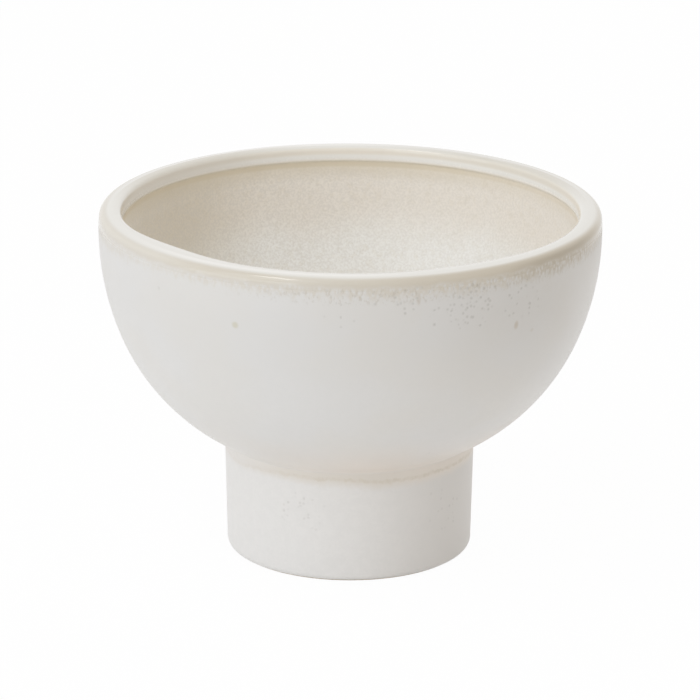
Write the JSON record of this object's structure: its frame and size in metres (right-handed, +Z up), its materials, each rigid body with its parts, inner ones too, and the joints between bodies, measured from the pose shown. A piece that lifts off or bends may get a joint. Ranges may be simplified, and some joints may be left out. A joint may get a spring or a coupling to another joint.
{
  "type": "footed compote bowl",
  "caption": "Deep round stoneware bowl with a thick dipped lip on a short hollow cylindrical foot, for serving or displaying fruit.",
  "frame": {"origin": "on the table, at the middle of the foot's resting ring", "axes": "+Z up along the bowl's axis; X and Y are level"},
  "size_m": [0.2, 0.2, 0.1407],
  "materials": {
    "stoneware": "bare fired stoneware, dry matt",
    "slip": "fired slip, dry matt",
    "underside_glaze": "thin satin off-white glaze",
    "white_glaze": "satin white glaze with fine pinholes",
    "cream_glaze": "satin cream glaze, finely mottled",
    "lip_glaze": "glossy off-white glaze that breaks to tan at its edges"
  },
  "bodies": {
    "root": {"foot": "stoneware", "slip_joint": "slip", "bowl": "stoneware", "underside_glaze": "underside_glaze", "foot_glaze": "white_glaze", "bowl_glaze": "white_glaze", "inner_glaze": "cream_glaze", "lip_glaze": "lip_glaze"}
  },
  "joints": []
}
